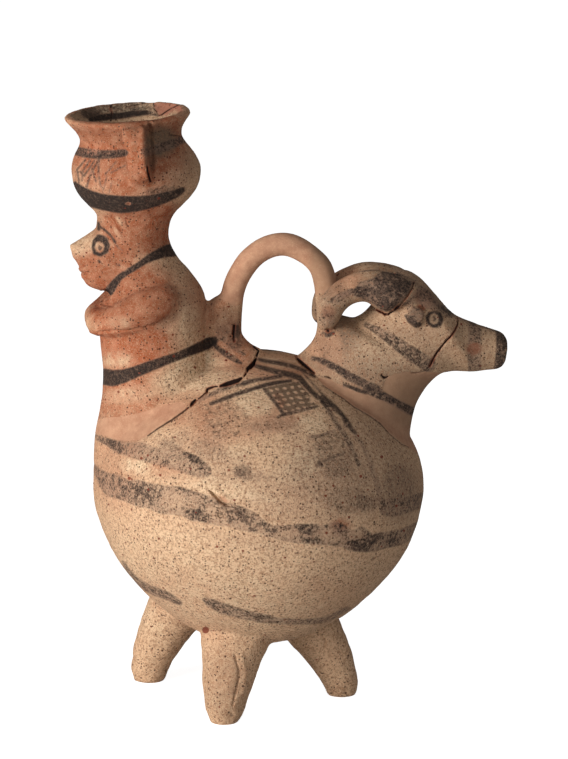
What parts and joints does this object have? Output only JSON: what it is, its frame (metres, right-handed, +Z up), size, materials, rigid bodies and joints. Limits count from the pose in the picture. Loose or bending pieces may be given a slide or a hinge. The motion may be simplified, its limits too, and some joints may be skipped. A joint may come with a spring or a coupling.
{
  "type": "askos",
  "caption": "Hollow terracotta globe on splayed legs, with a woman carrying a jar, a ram's head spout and a basket handle between them.",
  "frame": {"origin": "middle of the bounding box at the level of the feet", "axes": "+X towards the ram's head, +Z up, the woman with the jar on the -X side"},
  "size_m": [0.2092, 0.158, 0.2899],
  "materials": {
    "terracotta": "matte fired clay"
  },
  "bodies": {
    "root": {"askos": "terracotta"}
  },
  "joints": []
}
